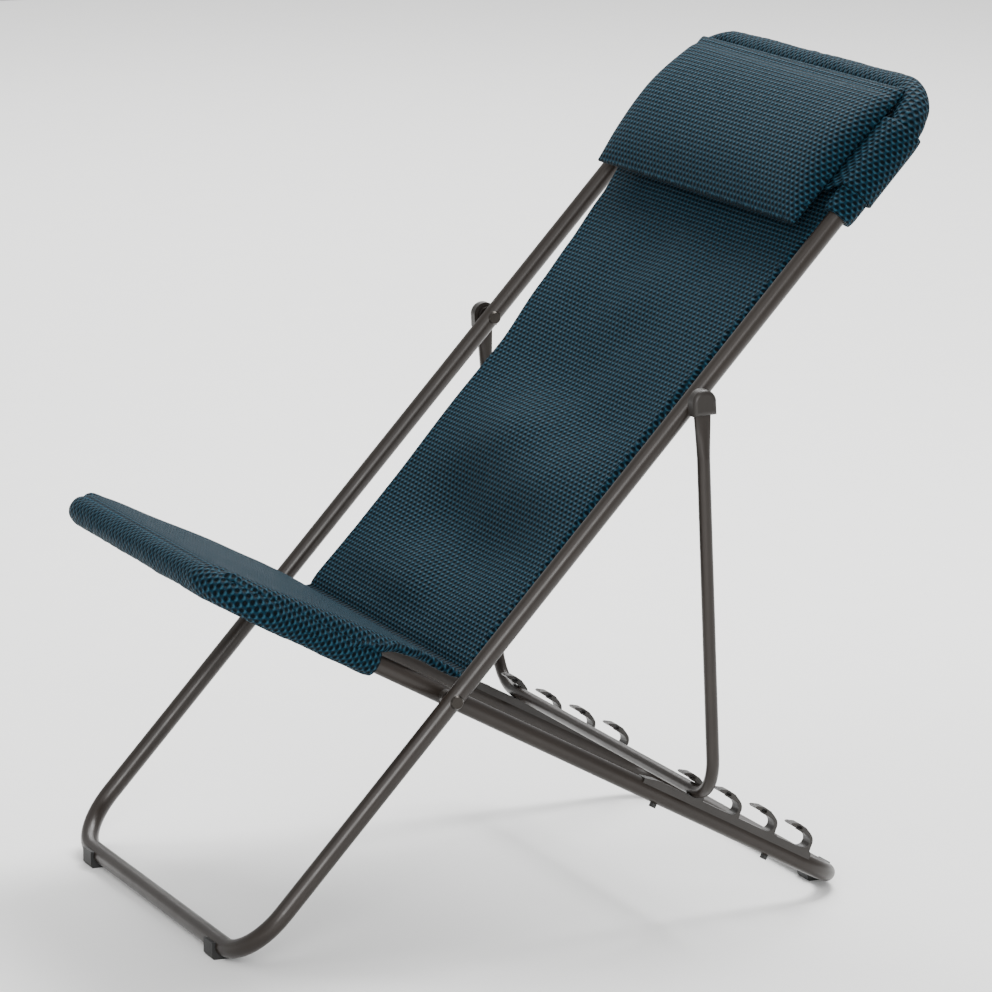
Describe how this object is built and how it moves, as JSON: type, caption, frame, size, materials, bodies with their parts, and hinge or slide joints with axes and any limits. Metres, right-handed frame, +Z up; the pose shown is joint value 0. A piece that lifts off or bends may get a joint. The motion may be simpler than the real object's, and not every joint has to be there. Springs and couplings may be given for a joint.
{
  "type": "folding beach chair",
  "caption": "Folding beach chair with a round-tube frame, a hooked recline rack, a padded mesh seat and back, and a headrest pillow.",
  "frame": {"origin": "on the floor, midway between the sides and midway between the chair's front and back", "axes": "+X to the sitter's left, +Y to the back of the chair, +Z up"},
  "size_m": [0.599, 0.8243, 0.8854],
  "materials": {
    "frame_tube": "satin",
    "moulding": "matte",
    "foot": "matte",
    "pin": "satin",
    "nut": "matte",
    "mesh_fabric": "matte",
    "binding": "matte"
  },
  "bodies": {
    "back_frame": {"back_tube_lower": "frame_tube", "back_tube_head": "frame_tube", "pivot_bush_left": "moulding", "front_foot_left": "foot", "back_spigot_left": "pin", "pivot_rivet_left": "pin", "stay_rivet_left": "pin", "stay_washer_left": "pin", "headrest_band_left": "binding", "pivot_bush_right": "moulding", "front_foot_right": "foot", "back_spigot_right": "pin", "pivot_rivet_right": "pin", "stay_rivet_right": "pin", "stay_washer_right": "pin", "headrest_band_right": "binding", "head_sleeve": "mesh_fabric", "back_panel": "mesh_fabric", "headrest_pillow": "mesh_fabric"},
    "seat_frame": {"seat_tube_rear": "frame_tube", "seat_tube_front": "frame_tube", "seat_spigot_left": "pin", "seat_spigot_right": "pin", "rack_left": "moulding", "rack_right": "moulding", "rack_screws": "pin", "rack_nuts": "nut", "rear_foot_left": "foot", "rear_foot_right": "foot", "seat_pocket": "mesh_fabric", "seat_panel": "mesh_fabric"},
    "stay": {"stay_tube": "frame_tube", "stay_cap_left": "moulding", "stay_cap_right": "moulding"}
  },
  "joints": [
    {"name": "seat_pivot", "type": "hinge", "parent": "back_frame", "child": "seat_frame", "pos_m": [0, -0.15103, 0.26901], "axis": [1, 0, 0], "range_deg": [0, 70.5]},
    {"name": "stay_pivot", "type": "hinge", "parent": "back_frame", "child": "stay", "pos_m": [0, 0.12134, 0.56793], "axis": [1, 0, 0], "range_deg": [-42.7, 0]}
  ],
  "couplings": [
    {"joint": "stay_pivot", "follows": "seat_pivot", "ratio": -0.6}
  ]
}
